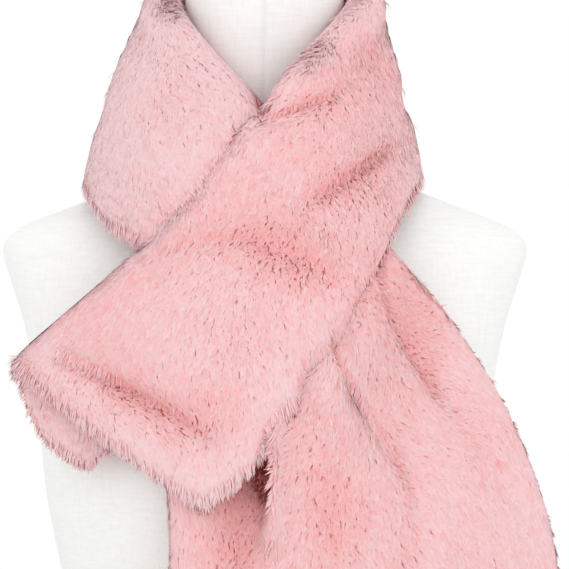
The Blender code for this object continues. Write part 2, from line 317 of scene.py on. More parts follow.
@dataclass(frozen=True)
class FurFinish:
    """Brushed polyester fur: pale pink tips over coral roots, soft and without shine."""

    pale_tip: Colour = (0.865, 0.67, 0.695, 1.0)
    pale_middle: Colour = (0.88, 0.605, 0.63, 1.0)
    pale_root: Colour = (0.92, 0.50, 0.51, 1.0)
    coral_tip: Colour = (0.895, 0.455, 0.465, 1.0)
    coral_middle: Colour = (0.89, 0.38, 0.37, 1.0)
    coral_root: Colour = (0.88, 0.24, 0.21, 1.0)
    deep: Colour = (0.30, 0.045, 0.035, 1.0)  # painted shade, far down in a fold or where the fur is shut in
    roughness: float = 0.85
    sheen: float = 0.15
    glint: float = 0.25

    def pile(self) -> bpy.types.Material:
        """Makes the blades' material, read from their own map alone.

        Returns:
            The material.
        """
        recipe = Recipe("fur_pile")
        place = recipe.add("UVMap", {"uv_map": PILE_MAP}).outputs["UV"]
        blush, along = recipe.add("SeparateXYZ", Vector=place).outputs[:2]
        pale = recipe.ramp(along, {0.0: self.pale_root, 0.45: self.pale_middle, 0.9: self.pale_tip})
        coral = recipe.ramp(along, {0.0: self.coral_root, 0.45: self.coral_middle, 0.9: self.coral_tip})
        recipe.shade(
            Base_Color=self.tone(recipe, blush, pale, coral),
            Roughness=self.roughness,
            Specular_IOR_Level=self.glint,
            Sheen_Weight=self.sheen,
            Sheen_Roughness=0.5,
            Sheen_Tint=(1.0, 0.84, 0.86, 1.0),
        )
        return recipe.material

    def tone(self, recipe: Recipe, blush: Socket, pale: object, coral: object) -> Socket:
        """The colour at a blush: pale at 0, coral at 0.7, and darkening to the deep one at 1, a painted
        shade.

        Args:
            recipe: the material.
            blush: the blush, from 0 to 1.
            pale: the colour where there is none.
            coral: the colour at 0.7.

        Returns:
            The colour's socket.
        """
        share = recipe.add("MapRange", i0=blush, i1=0.0, i2=0.7).outputs[0]
        down = recipe.add("MapRange", i0=blush, i1=0.7, i2=0.95).outputs[0]
        return recipe.blend(down, recipe.blend(share, pale, coral), self.deep)

    def ground(self) -> bpy.types.Material:
        """Makes the backing's material: the short dense down between the blades' roots.

        Returns:
            The material.
        """
        recipe = Recipe("fur_ground")
        where = recipe.add("TexCoord").outputs["Object"]
        down = recipe.add("TexNoise", Vector=where, Scale=900.0, Detail=2.0).outputs["Fac"]
        # painted shade: the tint turns coral and deep in hollows, folds and shut-in places
        blush = recipe.add("Attribute", {"attribute_name": GROUND_TINT}).outputs["Fac"]
        colour = self.tone(recipe, blush, self.pale_root, self.coral_root)
        bump = recipe.add("Bump", Strength=0.6, Distance=0.6 * MM, Height=down).outputs["Normal"]
        recipe.shade(Base_Color=colour, Normal=bump, Roughness=0.95, Specular_IOR_Level=0.1)
        return recipe.material


@dataclass(frozen=True)
class LinenFinish:
    """Cream linen, plain-woven from uneven yarns, so that thick slubs run through it both ways."""

    cream: Colour = (0.93, 0.95, 0.94, 1.0)
    shade: Colour = (0.89, 0.90, 0.88, 1.0)
    yarns_per_metre: float = 1100.0
    slub_length: float = 60.0  # the slubs' scale along the yarn
    slub_width: float = 650.0  # and across it
    roughness: float = 0.9

    def yarns(self, recipe: Recipe, where: Socket, upright: bool) -> Socket:
        """The height of one set of yarns.

        Args:
            recipe: the material.
            where: object coordinates.
            upright: the warp, which runs up the form; otherwise the weft, which runs round it.

        Returns:
            A height from 0 to 1.
        """
        along = (self.slub_width, self.slub_width, self.slub_length)
        across = (self.slub_length, self.slub_length, self.slub_width)
        stretched = recipe.add("Mapping", Vector=where, Scale=along if upright else across)
        slubs = recipe.add("TexNoise", Vector=stretched.outputs[0], Scale=1.0, Detail=1.5)
        axis = "X" if upright else "Z"
        ribs = recipe.add(
            "TexWave",
            {"wave_type": "BANDS", "bands_direction": axis},
            Vector=where,
            Scale=self.yarns_per_metre / (2 * math.pi),
            Distortion=1.2,
            Detail=1.0,
            Detail_Scale=0.6,
        )
        return recipe.sums("ADD", recipe.sums("MULTIPLY", ribs.outputs["Fac"], 0.06), slubs.outputs["Fac"])

    def cloth(self) -> bpy.types.Material:
        """Makes the cover's material.

        Returns:
            The material.
        """
        recipe = Recipe("linen")
        where = recipe.add("TexCoord").outputs["Object"]
        both = recipe.sums("ADD", *(self.yarns(recipe, where, upright) for upright in (True, False)))
        weave = recipe.sums("MULTIPLY", both, 0.5)
        colour = recipe.ramp(weave, {0.40: self.shade, 0.60: self.cream})
        bump = recipe.add("Bump", Strength=0.35, Distance=0.25 * MM, Height=weave).outputs["Normal"]
        recipe.shade(Base_Color=colour, Normal=bump, Roughness=self.roughness)
        recipe.shade(Specular_IOR_Level=0.2, Sheen_Weight=0.1)
        return recipe.material


# ------------------------------------------------------------------ the dress form
@dataclass
class DressForm:
    """The torso's linen cover: two fronts joined by a seam down the middle, and the same behind."""

    linen: LinenFinish = field(default_factory=LinenFinish)
    seam_width: float = 2.2 * MM
    seam_depth: float = 0.7 * MM
    allowance_width: float = 9.0 * MM  # of the pressed-open cloth on each side of a seam
    allowance_rise: float = 0.25 * MM
    levels: int = 1

    def build(self) -> Piece:
        """Models and dresses the cover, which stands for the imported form.

        Returns:
            The cover.
        """
        cover = merged_copy("dress_form", "linen_cover")
        with editing(cover, "FACE"):
            bpy.ops.mesh.tris_convert_to_quads()
        subdivide_smoothly(cover, self.levels)
        self.sew_middle(cover)
        cover.data.shade_smooth()
        choose(cover)
        bpy.ops.object.shade_smooth_by_angle(angle=math.radians(50))
        cover.data.materials.append(self.linen.cloth())
        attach(cover, BODY)
        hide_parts("dress_form")
        return cover

    def sew_middle(self, cover: Piece) -> None:
        """Draws the middle seam in as a groove between two pressed-open allowances.

        Args:
            cover: the cover.
        """
        edge, half = self.allowance_width, self.seam_width / 2
        for x in (-edge, -half, 0.0, half, edge):
            with editing(cover, "FACE"):
                bpy.ops.mesh.bisect(plane_co=(x, 0, 0), plane_no=(1, 0, 0))
        points, outward = points_of(cover.data), normals_of(cover.data)
        off = np.abs(points[:, 0])
        side = np.abs(outward[:, 2]) < 0.7
        groove = np.where(off < 0.1 * half, -self.seam_depth, 0.0)
        rise = np.where(np.abs(off - half) < 0.1 * half, self.allowance_rise, 0.0)
        put_points(cover.data, points + outward * ((groove + rise) * side)[:, None])


# ------------------------------------------------------------------ creases
class Side(Enum):
    """The side that a crease is drawn on; its value points that way."""

    FRONT = (0.0, -1.0, 0.0)
    BACK = (0.0, 1.0, 0.0)
    RIGHT = (1.0, 0.0, 0.0)
    LEFT = (-1.0, 0.0, 0.0)


@dataclass(frozen=True)
class Crease:
    """A soft trough pressed in the fur, or a swelling where its depth is below zero.

    The path runs through places in millimetres: X and Z on the front and back, Y and Z on the
    left and right. width is where its slopes have mostly levelled out. only keeps it to one stretch.
    """

    path: tuple[tuple[float, float], ...]
    width: float
    depth: float
    side: Side = Side.FRONT
    only: Stretch | None = None
    parting: float = 0.0  # how far the pile parts along it and shows its roots, with painted shade darkening the line


CREASES = (
    # the collar's front
    Crease(((-5, 557), (8, 561), (26, 568), (48, 576)), 3.5, 4, parting=1.2),  # off the neck's fold
    Crease(((-1, 576), (-1, 563)), 4.5, 12),  # the hole where the two sides meet
    Crease(((28, 505), (42, 512), (55, 520), (70, 531), (84, 541)), 5.5, 4, parting=0.7),
    Crease(((62, 618), (72, 604), (77, 590)), 8, 2),
    Crease(((-4, 572), (-34, 541), (-57, 512), (-90, 470)), 60, -36, only=Stretch.COLLAR_LEFT),
    Crease(((-62, 500), (-80, 478), (-98, 455)), 28, -13, only=Stretch.COLLAR_LEFT),
    # the front end
    Crease(((-75, 470), (-42, 478), (-9, 483), (14, 473), (40, 459)), 6, 3.2, parting=0.5),
    Crease(((-133, 404), (-107, 392), (-81, 380), (-55, 366), (-34, 356)), 4, 4, parting=0.7),
    Crease(((-120, 352), (-100, 340)), 6, 3),
    Crease(  # drawn in here
        ((33, 393), (16, 356), (1, 336), (-14, 320), (-33, 307)), 11, 10, only=Stretch.FRONT_END
    ),
    # the tail
    Crease(((73, 469), (79, 445), (91, 416), (115, 377)), 5, 4.5, parting=0.5),
    Crease(((44, 417), (50, 404), (58, 386), (66, 371)), 4, 6.5, parting=1.0),
    Crease(((62, 378), (75, 355), (87, 337), (94, 312)), 4, 2.5, parting=0.2),
    Crease(((92, 482), (78, 450), (62, 418), (45, 390), (30, 367)), 34, -28, only=Stretch.TAIL),
    Crease(((100, 500), (84, 465), (64, 430), (44, 400)), 22, -14, only=Stretch.TAIL),
    Crease(((12, 364), (4, 348), (-4, 334)), 8, 8, only=Stretch.FRONT_END),  # over the hollow
    Crease(  # the deep hollow
        ((6, 370), (0, 350), (-6, 329), (-5, 310)), 12, 14, parting=1.2, only=Stretch.TAIL
    ),
    Crease(((8, 366), (3, 346), (4, 326), (5, 308), (4, 288)), 6, -15, only=Stretch.TAIL),
    Crease(((-50, 350), (-48, 310), (-45, 250), (-47, 190), (-52, 140)), 32, -27, only=Stretch.TAIL),
    Crease(((-12, 262), (-11, 220), (-12, 160), (-12, 110)), 16, -12, only=Stretch.TAIL),
    Crease(((24, 365), (37, 330), (43, 284), (38, 240)), 9, 2),
    Crease(((128, 372), (139, 345), (156, 318)), 12, 3),
    Crease(((-44, 290), (-38, 250), (-47, 200), (-42, 150)), 10, 3),
    Crease(((95, 290), (88, 240), (96, 180), (90, 120)), 10, 4),
    Crease(((30, 200), (37, 150), (31, 90)), 9, 4),
    # behind and at the sides
    Crease(((-60, 610), (-20, 598), (25, 604)), 8, 5, Side.BACK),
    Crease(((-80, 560), (-30, 548), (30, 556), (85, 548)), 9, 6, Side.BACK),
    Crease(((40, 590), (75, 575)), 8, 4, Side.BACK),
    Crease(((-60, 470), (-15, 500), (30, 508)), 9, 5, Side.BACK),
    Crease(((0, 575), (45, 580)), 8, 5, Side.RIGHT),
    Crease(((5, 522), (50, 535)), 8, 5, Side.RIGHT),
    Crease(((0, 565), (50, 575)), 8, 5, Side.LEFT),
    Crease(((10, 515), (55, 530)), 8, 5, Side.LEFT),
)


@dataclass
class Folds:
    """All the creases together."""

    creases: tuple[Crease, ...] = CREASES
    spacing: float = 2 * MM  # of the places along a path
    uneven: float = 0.12  # how far a trough's depth varies along it
    usual: float = 6 * MM
    deepest: float = 15 * MM
    parting_width: float = 2.8 * MM

    def press(self, shell: Piece) -> Rows:
        """Presses the creases into a shell's surface.

        Args:
            shell: the shell.

        Returns:
            For each vertex how much of a trough it is in, 1 in a usual one and 2 in a deep one, plus the
            parting along its line; both later paint shade into the blush.
        """
        points, outward = points_of(shell.data), normals_of(shell.data)
        solid = BVHTree.FromPolygons(points.tolist(), [tuple(f.vertices) for f in shell.data.polygons])
        sunk, parted_and_shaded, moved = np.zeros(len(points)), np.zeros(len(points)), np.zeros_like(points)
        of_stretch = self.stretches(shell.data)
        for index, crease in enumerate(self.creases):
            line = self.on_surface(crease, solid)
            if not len(line):
                log.warning("crease %d misses the fur", index)
                continue
            flat = 1 - np.abs(crease.side.value) if crease.depth < 0 else np.ones(3)
            apart = np.linalg.norm((points[:, None] - line[None]) * flat, axis=2)
            share = apart.argmin(1) / max(len(line) - 1, 1)
            fall = np.exp(-((apart.min(1) / (crease.width * MM)) ** 2))
            ends = np.sqrt(np.sin(math.pi * (0.1 + 0.8 * share)))
            swell = 1 + self.uneven * np.sin(2 * math.pi * (1.7 * share + 0.37 * index))
            faces = np.clip(0.3 + outward @ np.array(crease.side.value), 0, 1)
            here = 1.0 if crease.only is None else of_stretch == list(Stretch).index(crease.only)
            by = crease.depth * MM * fall * ends * np.minimum(1, 2 * faces) * here
            if crease.depth > 0:
                sunk += by * swell
                # painted shade along the line: the parting turns the blush coral and, where deep, dark
                line_share = np.exp(-((apart.min(1) / self.parting_width) ** 2)) * ends
                parted_and_shaded = np.maximum(parted_and_shaded, crease.parting * line_share * np.minimum(1, 2 * faces))
            else:
                moved -= by[:, None] * np.array(crease.side.value)
        sunk = np.minimum(sunk, self.deepest)
        put_points(shell.data, points + moved - outward * sunk[:, None])
        return np.clip(sunk / self.usual, 0, 2) + parted_and_shaded

    def stretches(self, mesh: Mesh) -> Rows:
        """Reads where each vertex is.

        Args:
            mesh: the shell's mesh, its faces marked.

        Returns:
            The number of the stretch that it is on.
        """
        found = np.zeros(len(mesh.vertices), int)
        for face, mark in zip(mesh.polygons, mesh.attributes["stretch"].data):
            found[list(face.vertices)] = mark.value
        return found

    def on_surface(self, crease: Crease, solid: BVHTree) -> Rows:
        """Lays a crease's path on the surface that shows on its side.

        Args:
            crease: the crease.
            solid: the surface.

        Returns:
            A row for each place.
        """
        way = Vector(crease.side.value)
        path = np.array(crease.path) * MM
        steps = np.linalg.norm(np.diff(path, axis=0), axis=1)
        far = np.concatenate([[0], np.cumsum(steps)])
        at = np.arange(0, far[-1] + self.spacing / 2, self.spacing)
        first, second = np.interp(at, far, path[:, 0]), np.interp(at, far, path[:, 1])
        found = []
        for one, up in zip(first, second):
            spot = Vector((one, 0, up)) if way.y else Vector((0, one, up))
            hit = solid.ray_cast(spot + way, -way)[0]
            if hit is not None:
                found.append(hit)
        return np.array(found).reshape(-1, 3)


# ------------------------------------------------------------------ the backing
@dataclass
class Reach:
    """The surface that the pile's tips come to, over the backing that it grows from."""

    points: Rows
    outward: Rows
    ground: Rows
    triangles: Rows
    stretch: Rows  # of each triangle
    edges: Rows
    lie: Rows  # the nap: its direction, stand and blush
    rim: Rows  # 1 at the edge of a wall, 0 on its faces
    crease: Rows  # 1 down in a trough, 2 in a deep one
    open: Rows | None = None  # 0 shut in, 1 seen from all round
    hollow: Rows | None = None  # metres below its surroundings
    blush: Rows | None = None  # 1 coral, up to 1.4 deep in a fold or shut in; partly painted shade


@dataclass
class Backing:
    """The knitted backing of the strip: a thin closed shell in the middle of each packed wall."""

    flat_depth: float = 0.35 * MM  # from the tips to the down between them, where the pile lies
    upright_depth: float = 1.9 * MM  # where it stands on end
    rim_depth: float = 2.4 * MM  # and at the edges
    share_of_wall: float = 0.42  # the deepest that the ground lies
    rim_wall: float = 17 * MM  # a wall looks thicker than this from its edge
    rim_blend: float = 8 * MM
    weld: float = 0.45 * MM
    cap_reach: float = 0.6 * MM
    levels: int = 2
    iron_rounds: int = 30
    lapped: float = 0.35  # a face that faces its surroundings less than this laps over
    strip_width: float = 0.27
    strip_length: float = 1.25
    folds: Folds = field(default_factory=Folds)
    nap: "Nap" = field(default_factory=lambda: Nap())
    fur: FurFinish = field(default_factory=FurFinish)

    def build(self) -> tuple[Piece, Reach]:
        """Models the shell.

        Returns:
            The backing, and the surface that its pile reaches.
        """
        shell = self.joined()
        subdivide_smoothly(shell, self.levels)
        self.iron(shell)
        rim = np.clip((self.thickness(shell.data) - self.rim_wall) / self.rim_blend, 0, 1)
        crease = self.folds.press(shell)
        self.iron(shell)
        reach = self.measured(shell, rim, crease)
        Surroundings().read(reach)
        put_points(shell.data, reach.ground)
        shell.data.shade_smooth()
        # painted shade: the ground's tint carries the blush darkened in folds and shut-in places
        tint = shell.data.attributes.new(GROUND_TINT, "FLOAT", "POINT")
        tint.data.foreach_set("value", (0.7 * reach.blush).astype(np.float32))
        shell.data.materials.append(self.fur.ground())
        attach(shell, BODY)
        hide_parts(*(stretch.value for stretch in Stretch))
        return shell, reach

    def joined(self) -> Piece:
        """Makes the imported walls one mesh, open from each stretch into the next.

        Returns:
            The shell, its faces marked with the number of their stretch.
        """
        pieces = [merged_copy(stretch.value, f"wall_{stretch.value}") for stretch in Stretch]
        clouds = [points_of(piece.data) for piece in pieces]
        for index, piece in enumerate(pieces):
            others = [c for k, c in enumerate(clouds) if k != index and {k, index} != {0, 4}]
            self.open_ends(piece, np.concatenate(others))
            mark = piece.data.attributes.new("stretch", "INT", "FACE")
            mark.data.foreach_set("value", np.full(len(piece.data.polygons), index, np.int32))
        choose(*pieces)
        bpy.ops.object.join()
        shell = bpy.context.view_layer.objects.active
        shell.name = shell.data.name = "fur_backing"
        with editing(shell):
            bpy.ops.mesh.remove_doubles(threshold=self.weld)
            bpy.ops.mesh.tris_convert_to_quads()
        return shell

    def open_ends(self, piece: Piece, others: Rows) -> None:
        """Deletes the flat ends that meet the next stretch across a seam's gap.

        Args:
            piece: a wall.
            others: the points of the walls that it may meet.
        """
        tree = KDTree(len(others))
        for index, point in enumerate(others):
            tree.insert(point, index)
        tree.balance()
        mesh = piece.data
        near = np.array([tree.find(v.co)[2] < self.cap_reach for v in mesh.vertices])
        caps = np.array([all(near[v] for v in face.vertices) for face in mesh.polygons])
        if caps.any():
            for group, marks in ((mesh.vertices, False), (mesh.edges, False), (mesh.polygons, caps)):
                group.foreach_set("select", np.full(len(group), marks))
            with editing(piece, "FACE", whole=False):
                bpy.ops.mesh.delete(type="ONLY_FACE")

    def iron(self, shell: Piece) -> None:
        """Evens out the few places where the surface laps over itself.

        Args:
            shell: the shell.
        """
        mesh = shell.data
        edges = np.array([e.vertices for e in mesh.edges], int)
        corners = np.array([face.vertices for face in mesh.polygons], int)
        for _ in range(self.iron_rounds):
            ways = rows_of(mesh.polygons, "normal")
            around = unit(smoothed(normals_of(mesh), edges, 2))[corners].mean(1)
            marks = np.zeros(len(mesh.vertices))
            marks[corners[(around * ways).sum(1) < self.lapped]] = 1
            if not marks.any():
                break
            near = np.minimum(1, 4 * smoothed(marks, edges, 2))[:, None]
            points = points_of(mesh)
            put_points(mesh, points + (smoothed(points, edges, 1) - points) * near)
        log.info("%s: %d places still lap over", shell.name, marks.sum())

    def thickness(self, mesh: Mesh) -> Rows:
        """Measures how thick the wall is behind each vertex.

        Args:
            mesh: the walls.

        Returns:
            The thicknesses, in metres.
        """
        points, outward = points_of(mesh), normals_of(mesh)
        solid = BVHTree.FromPolygons(points.tolist(), [tuple(f.vertices) for f in mesh.polygons])
        wall = np.full(len(points), 0.1)
        for index, (point, way) in enumerate(zip(points, outward)):
            hit = solid.ray_cast(Vector(point - way * 0.2 * MM), Vector(-way), 0.1)
            if hit[0] is not None:
                wall[index] = hit[3]
        return wall

    def measured(self, shell: Piece, rim: Rows, crease: Rows) -> Reach:
        """Reads the reach surface, and finds the ground under it inside each wall.

        Args:
            shell: the walls, with their creases pressed.
            rim: 1 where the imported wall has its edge.
            crease: how much of a trough each vertex is in.

        Returns:
            The surface.
        """
        mesh = shell.data
        triangles = triangles_of(mesh)
        of_face = np.array([t.polygon_index for t in mesh.loop_triangles], int)
        stretch = np.array([v.value for v in mesh.attributes["stretch"].data], int)[of_face]
        edges = np.array([e.vertices for e in mesh.edges], int)
        points, outward = points_of(mesh), unit(smoothed(normals_of(mesh), edges, 1))
        rim = smoothed(rim, edges, 4)
        lie = np.zeros((len(points), 5))
        for index, one in enumerate(Stretch):
            of_it = np.unique(triangles[stretch == index])
            lie[of_it] = self.nap.lie(points[of_it], outward[of_it], self.nap.combs_for(one))
        deep = self.flat_depth + (self.upright_depth - self.flat_depth) * lie[:, 3] ** 2
        deep += (self.rim_depth - deep) * np.clip(1.5 * rim, 0, 1)
        depth = np.minimum(deep, self.share_of_wall * (self.thickness(mesh) + 0.2 * MM))
        depth = np.minimum(depth, smoothed(depth, edges, 4))
        ground = points - outward * depth[:, None]
        return Reach(points, outward, ground, triangles, stretch, edges, lie, rim, crease)


@dataclass
class Surroundings:
    """How open each place of the fur is, and how deep it lies in a trough."""

    rays: int = 14
    look: float = 60 * MM
    lift: float = 0.6 * MM
    wide: int = 40  # rounds of smoothing that a trough is measured against
    narrow: int = 4
    hollow_blush: float = 0.15  # what a usual hollow adds to the blush, partly the roots showing and partly painted shade
    crease_blush: float = 0.2  # what a crease adds, the same way
    shade_blush: float = 0.5  # painted shade: what being shut in adds
    shut_in: float = 0.7  # the openness below which it counts

    def read(self, reach: Reach) -> None:
        """Fills in the reach surface's openness, hollows and blush, the blush with painted shade in
        hollows, creases and shut-in places.

        Args:
            reach: the surface.
        """
        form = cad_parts["dress_form"].data
        faces = triangles_of(form) + len(reach.points)
        solid = BVHTree.FromPolygons(
            np.concatenate([reach.points, points_of(form)]).tolist(),
            np.concatenate([reach.triangles, faces]).tolist(),
        )
        spread = self.spread_of_rays()
        share = np.zeros(len(reach.points))
        for index, (point, way) in enumerate(zip(reach.points, reach.outward)):
            side = unit(np.cross(way, (0.0, 0.6, 0.8) if abs(way[0]) > 0.7 else (1.0, 0.0, 0.0)))
            basis = np.stack([side, np.cross(way, side), way])
            start_at = Vector(point + way * self.lift)
            free = sum(
                solid.ray_cast(start_at, Vector(ray), self.look)[0] is None for ray in spread @ basis
            )
            share[index] = free / self.rays
        reach.open = smoothed(share, reach.edges, 3)
        low = smoothed(reach.points, reach.edges, self.narrow)
        around = smoothed(reach.points, reach.edges, self.wide)
        reach.hollow = ((around - low) * reach.outward).sum(1)
        # coral in hollows and creases, partly the roots showing and partly painted shade; being shut in
        # adds painted shade
        coral = reach.lie[:, 4] + self.hollow_blush * np.clip(reach.hollow / USUAL_HOLLOW, -1, 1)
        shade = self.shade_blush * np.clip(self.shut_in - reach.open, 0, 1)
        coral += self.crease_blush * reach.crease + shade
        # painted shade: the deep colour in deep creases and where the fur is shut in
        painted_fold_shade = np.clip(reach.crease - 1.2, 0, 0.4) + 2.0 * np.clip(0.35 - reach.open, 0, 0.2)
        reach.blush = np.clip(coral, 0, 1) + np.clip(painted_fold_shade, 0, 0.4)

    def spread_of_rays(self) -> Rows:
        """Spreads directions over the half sphere about +Z, thicker towards it.

        Returns:
            A row for each.
        """
        turn = math.pi * (3 - math.sqrt(5))
        rows = []
        for k in range(self.rays):
            height = math.sqrt((k + 0.5) / self.rays)
            out = math.sqrt(1 - height * height)
            rows.append((out * math.cos(turn * k), out * math.sin(turn * k), height))
        return np.array(rows)


# ------------------------------------------------------------------ the pile
@dataclass(frozen=True)
class Comb:
    """A place where the pile's lie is known, in millimetres as seen from the front.

    heading is the way the tips point, in degrees from straight down towards the viewer's right;
    stand is 0 where the pile lies flat and 100 where it stands on end; blush is 0 for pale and
    100 for coral, the fur's own tone together with painted shade, more coral where a surface turns
    from the light, and painted paler sheen at some turned edges.
    """

    x: float
    z: float
    heading: float
    stand: float
    blush: float


def combed(*rows: tuple[float, ...]) -> tuple[Comb, ...]:
    """The places, each from its x, z, heading, stand and blush."""
    return tuple(Comb(*row) for row in rows)


COLLAR_COMBS = combed(
    (-70, 624, 20, 35, 15), (-52, 619, 27, 55, 25), (-34, 593, 30, 55, 25), (-12, 567, 8, 60, 25),
    (-88, 593, 18, 15, 10), (-54, 569, 30, 45, 40), (-79, 538, 36, 25, 20), (-61, 521, 33, 30, 25),
    (-106, 547, 5, 10, 0), (-104, 509, 15, 10, 15), (-29, 552, 20, 50, 40), (-48, 503, 25, 50, 60),
    (60, 629, -37, 40, 50), (46, 621, -30, 30, 20), (40, 596, -45, 25, 50), (24, 581, -45, 30, 45),
    (7, 568, -50, 50, 40), (52, 611, -5, 70, 50), (52, 594, 0, 50, 60), (61, 604, 40, 55, 70),
    (69, 596, 35, 50, 95), (79, 617, 5, 10, 35), (73, 578, 15, 25, 45), (54, 568, 25, 65, 60),
    (44, 574, -35, 75, 80), (32, 558, -32, 45, 60), (-8, 534, -32, 35, 50), (16, 538, -33, 45, 60),
    (40, 542, -5, 50, 70), (60, 546, 12, 45, 50), (83, 551, -18, 35, 50), (78, 530, -27, 65, 85),
    (52, 518, -20, 75, 85), (95, 530, 0, 10, 10), (12, 520, -18, 45, 55),
)
FRONT_COMBS = combed(
    (-22, 483, -35, 55, 65), (-35, 449, -37, 45, 35), (3, 474, -20, 85, 90), (22, 464, -15, 85, 90),
    (43, 480, -5, 60, 70), (63, 496, 0, 50, 50), (-85, 451, -37, 25, 50), (-68, 477, -40, 15, 50),
    (-110, 424, -41, 20, 55), (-73, 430, -24, 15, 30), (-35, 418, -6, 50, 40),
    (-10, 405, 12, 60, 45), (-3, 441, -8, 45, 45), (24, 434, 10, 40, 45), (30, 415, 15, 20, 30),
    (-92, 411, -27, 30, 50), (-60, 399, -6, 35, 30), (-122, 385, -12, 45, 50),
    (-85, 383, 35, 80, 80), (-60, 368, 35, 80, 80), (-41, 355, 20, 70, 70), (-22, 362, -20, 60, 70),
    (-160, 399, -40, 10, 30), (-122, 368, 6, 15, 5), (-85, 345, 4, 10, 0), (-41, 330, 2, 10, 0),
    (-16, 336, 10, 15, 15), (3, 362, 18, 15, 25), (10, 387, 15, 15, 25), (-148, 374, -10, 30, 30),
    (-135, 355, -10, 30, 30), (-114, 339, -5, 40, 25),
)
TAIL_COMBS = combed(
    (80, 462, 30, 50, 70), (83, 441, 60, 90, 95), (89, 418, 70, 80, 90), (101, 429, 105, 50, 55),
    (67, 415, 15, 55, 60), (60, 408, -25, 50, 50), (73, 394, 14, 35, 30), (83, 388, 5, 60, 55),
    (101, 395, 85, 60, 60), (94, 359, 77, 50, 50), (114, 364, 82, 35, 40), (108, 343, 70, 35, 40),
    (80, 370, 0, 50, 50), (60, 384, -18, 15, 20), (26, 366, -10, 60, 65), (10, 353, -70, 60, 50),
    (9, 336, -55, 45, 40), (7, 310, -20, 30, 35), (37, 315, 0, 60, 80), (46, 346, -5, 50, 55),
    (67, 343, -12, 40, 40), (80, 288, 30, 50, 40), (114, 295, 37, 30, 35), (149, 315, 32, 15, 30),
    (53, 297, 10, 60, 75), (12, 277, -10, 40, 45), (-19, 310, 0, 70, 90), (-46, 284, 5, 30, 40),
    (-46, 255, 5, 30, 40), (-22, 280, -10, 90, 100), (135, 398, 60, 10, 30), (177, 301, 20, 10, 25),
)


@dataclass
class Nap:
    """The lie of the pile all over: the hand-combed places, blended, and downwards elsewhere."""

    reach_of_comb: float = 13 * MM
    far_weight: float = 1e-6  # of the combed places past that reach
    plain_weight: float = 0.02
    plain_spread: float = 0.6  # how far the uncombed lie turns away from the neck, over the down
    plain_stand: float = 0.35
    plain_blush: float = 0.4
    stray: float = 0.2  # how far the lie wanders, as a share of it
    wander: float = 14 * MM

    def combs_for(self, stretch: Stretch) -> tuple[Comb, ...]:
        """The combed places that a stretch follows."""
        return TAIL_COMBS if stretch is Stretch.TAIL else COLLAR_COMBS + FRONT_COMBS

    def lie(self, points: Rows, outward: Rows, combs: tuple[Comb, ...]) -> Rows:
        """Reads the nap.

        Args:
            points: where.
            outward: the way out of the surface there.
            combs: the combed places that count.

        Returns:
            For each point, the direction along the surface (three numbers), stand and blush.
        """
        x, z, heading, stand, blush = np.array([astuple(comb) for comb in combs], float).T
        turn = np.radians(heading)
        facts = np.stack([np.sin(turn), 0 * turn, -np.cos(turn), stand / 100, blush / 100], 1)
        apart = (points[:, None, 0] - x * MM) ** 2 + (points[:, None, 2] - z * MM) ** 2
        weight = np.exp(-apart / (2 * self.reach_of_comb**2)) + self.far_weight / (1e-4 + apart)
        facing = np.clip(0.55 - outward[:, 1], 0, 1)  # the combed places face the front
        weight *= facing[:, None]
        away = self.plain_spread * unit(points * (1, 1, 0))
        plain = np.column_stack([away - (0, 0, 1), np.full((len(points), 2), 1.0)])
        plain[:, 3:] *= (self.plain_stand, self.plain_blush)
        total = weight.sum(1, keepdims=True) + self.plain_weight
        found = (weight @ facts + self.plain_weight * plain) / total
        along = found[:, :3] + self.stray * waves(points, self.wander, 3.1)
        along -= outward * (along * outward).sum(1, keepdims=True)
        return np.concatenate([unit(along), found[:, 3:]], 1)


@dataclass
class Blade:
    """One blade of the pile: a narrow lozenge, from its root over its waist to its tip."""

    slimness: float = 0.2

    def model(self) -> tuple[Rows, Rows, Rows]:
        """Models the blade once, by hand.

        Returns:
            Its corners' places across (-0.5 to 0.5) and along (0 to 1), and its triangles.
        """
        bpy.ops.object.select_all(action="DESELECT")
        bpy.ops.mesh.primitive_circle_add(vertices=4, radius=0.5, fill_type="NGON")
        blade = bpy.context.active_object
        with editing(blade):
            bpy.ops.transform.resize(value=(self.slimness, 1.0, 1.0))
            bpy.ops.mesh.quads_convert_to_tris(quad_method="SHORTEST_DIAGONAL")
        mesh = blade.data
        points = points_of(mesh)
        triangles = np.array([face.vertices for face in mesh.polygons], int)
        bpy.data.objects.remove(blade)
        bpy.data.meshes.remove(mesh)
        return points[:, 0] / self.slimness, points[:, 1] + 0.5, triangles


@dataclass
class Roots:
    """Where the blades start, and all that shapes each of them."""

    at: Rows
    outward: Rows
    along: Rows
    stand: Rows
    blush: Rows
    depth: Rows
    rim: Rows
    stretch: Rows


@dataclass
class Strands:
    """The blades as they lie: a row for each."""

    root: Rows
    waist: Rows
    tip: Rows
    flat_side: Rows  # the way across the blade
    facing: Rows  # the way out of the fur at the root
    tip_facing: Rows  # and at the tip
    blush: Rows

    def some(self, chosen: Rows) -> "Strands":
        """The chosen ones alone."""
        return Strands(*(getattr(self, one.name)[chosen] for one in fields(self)))


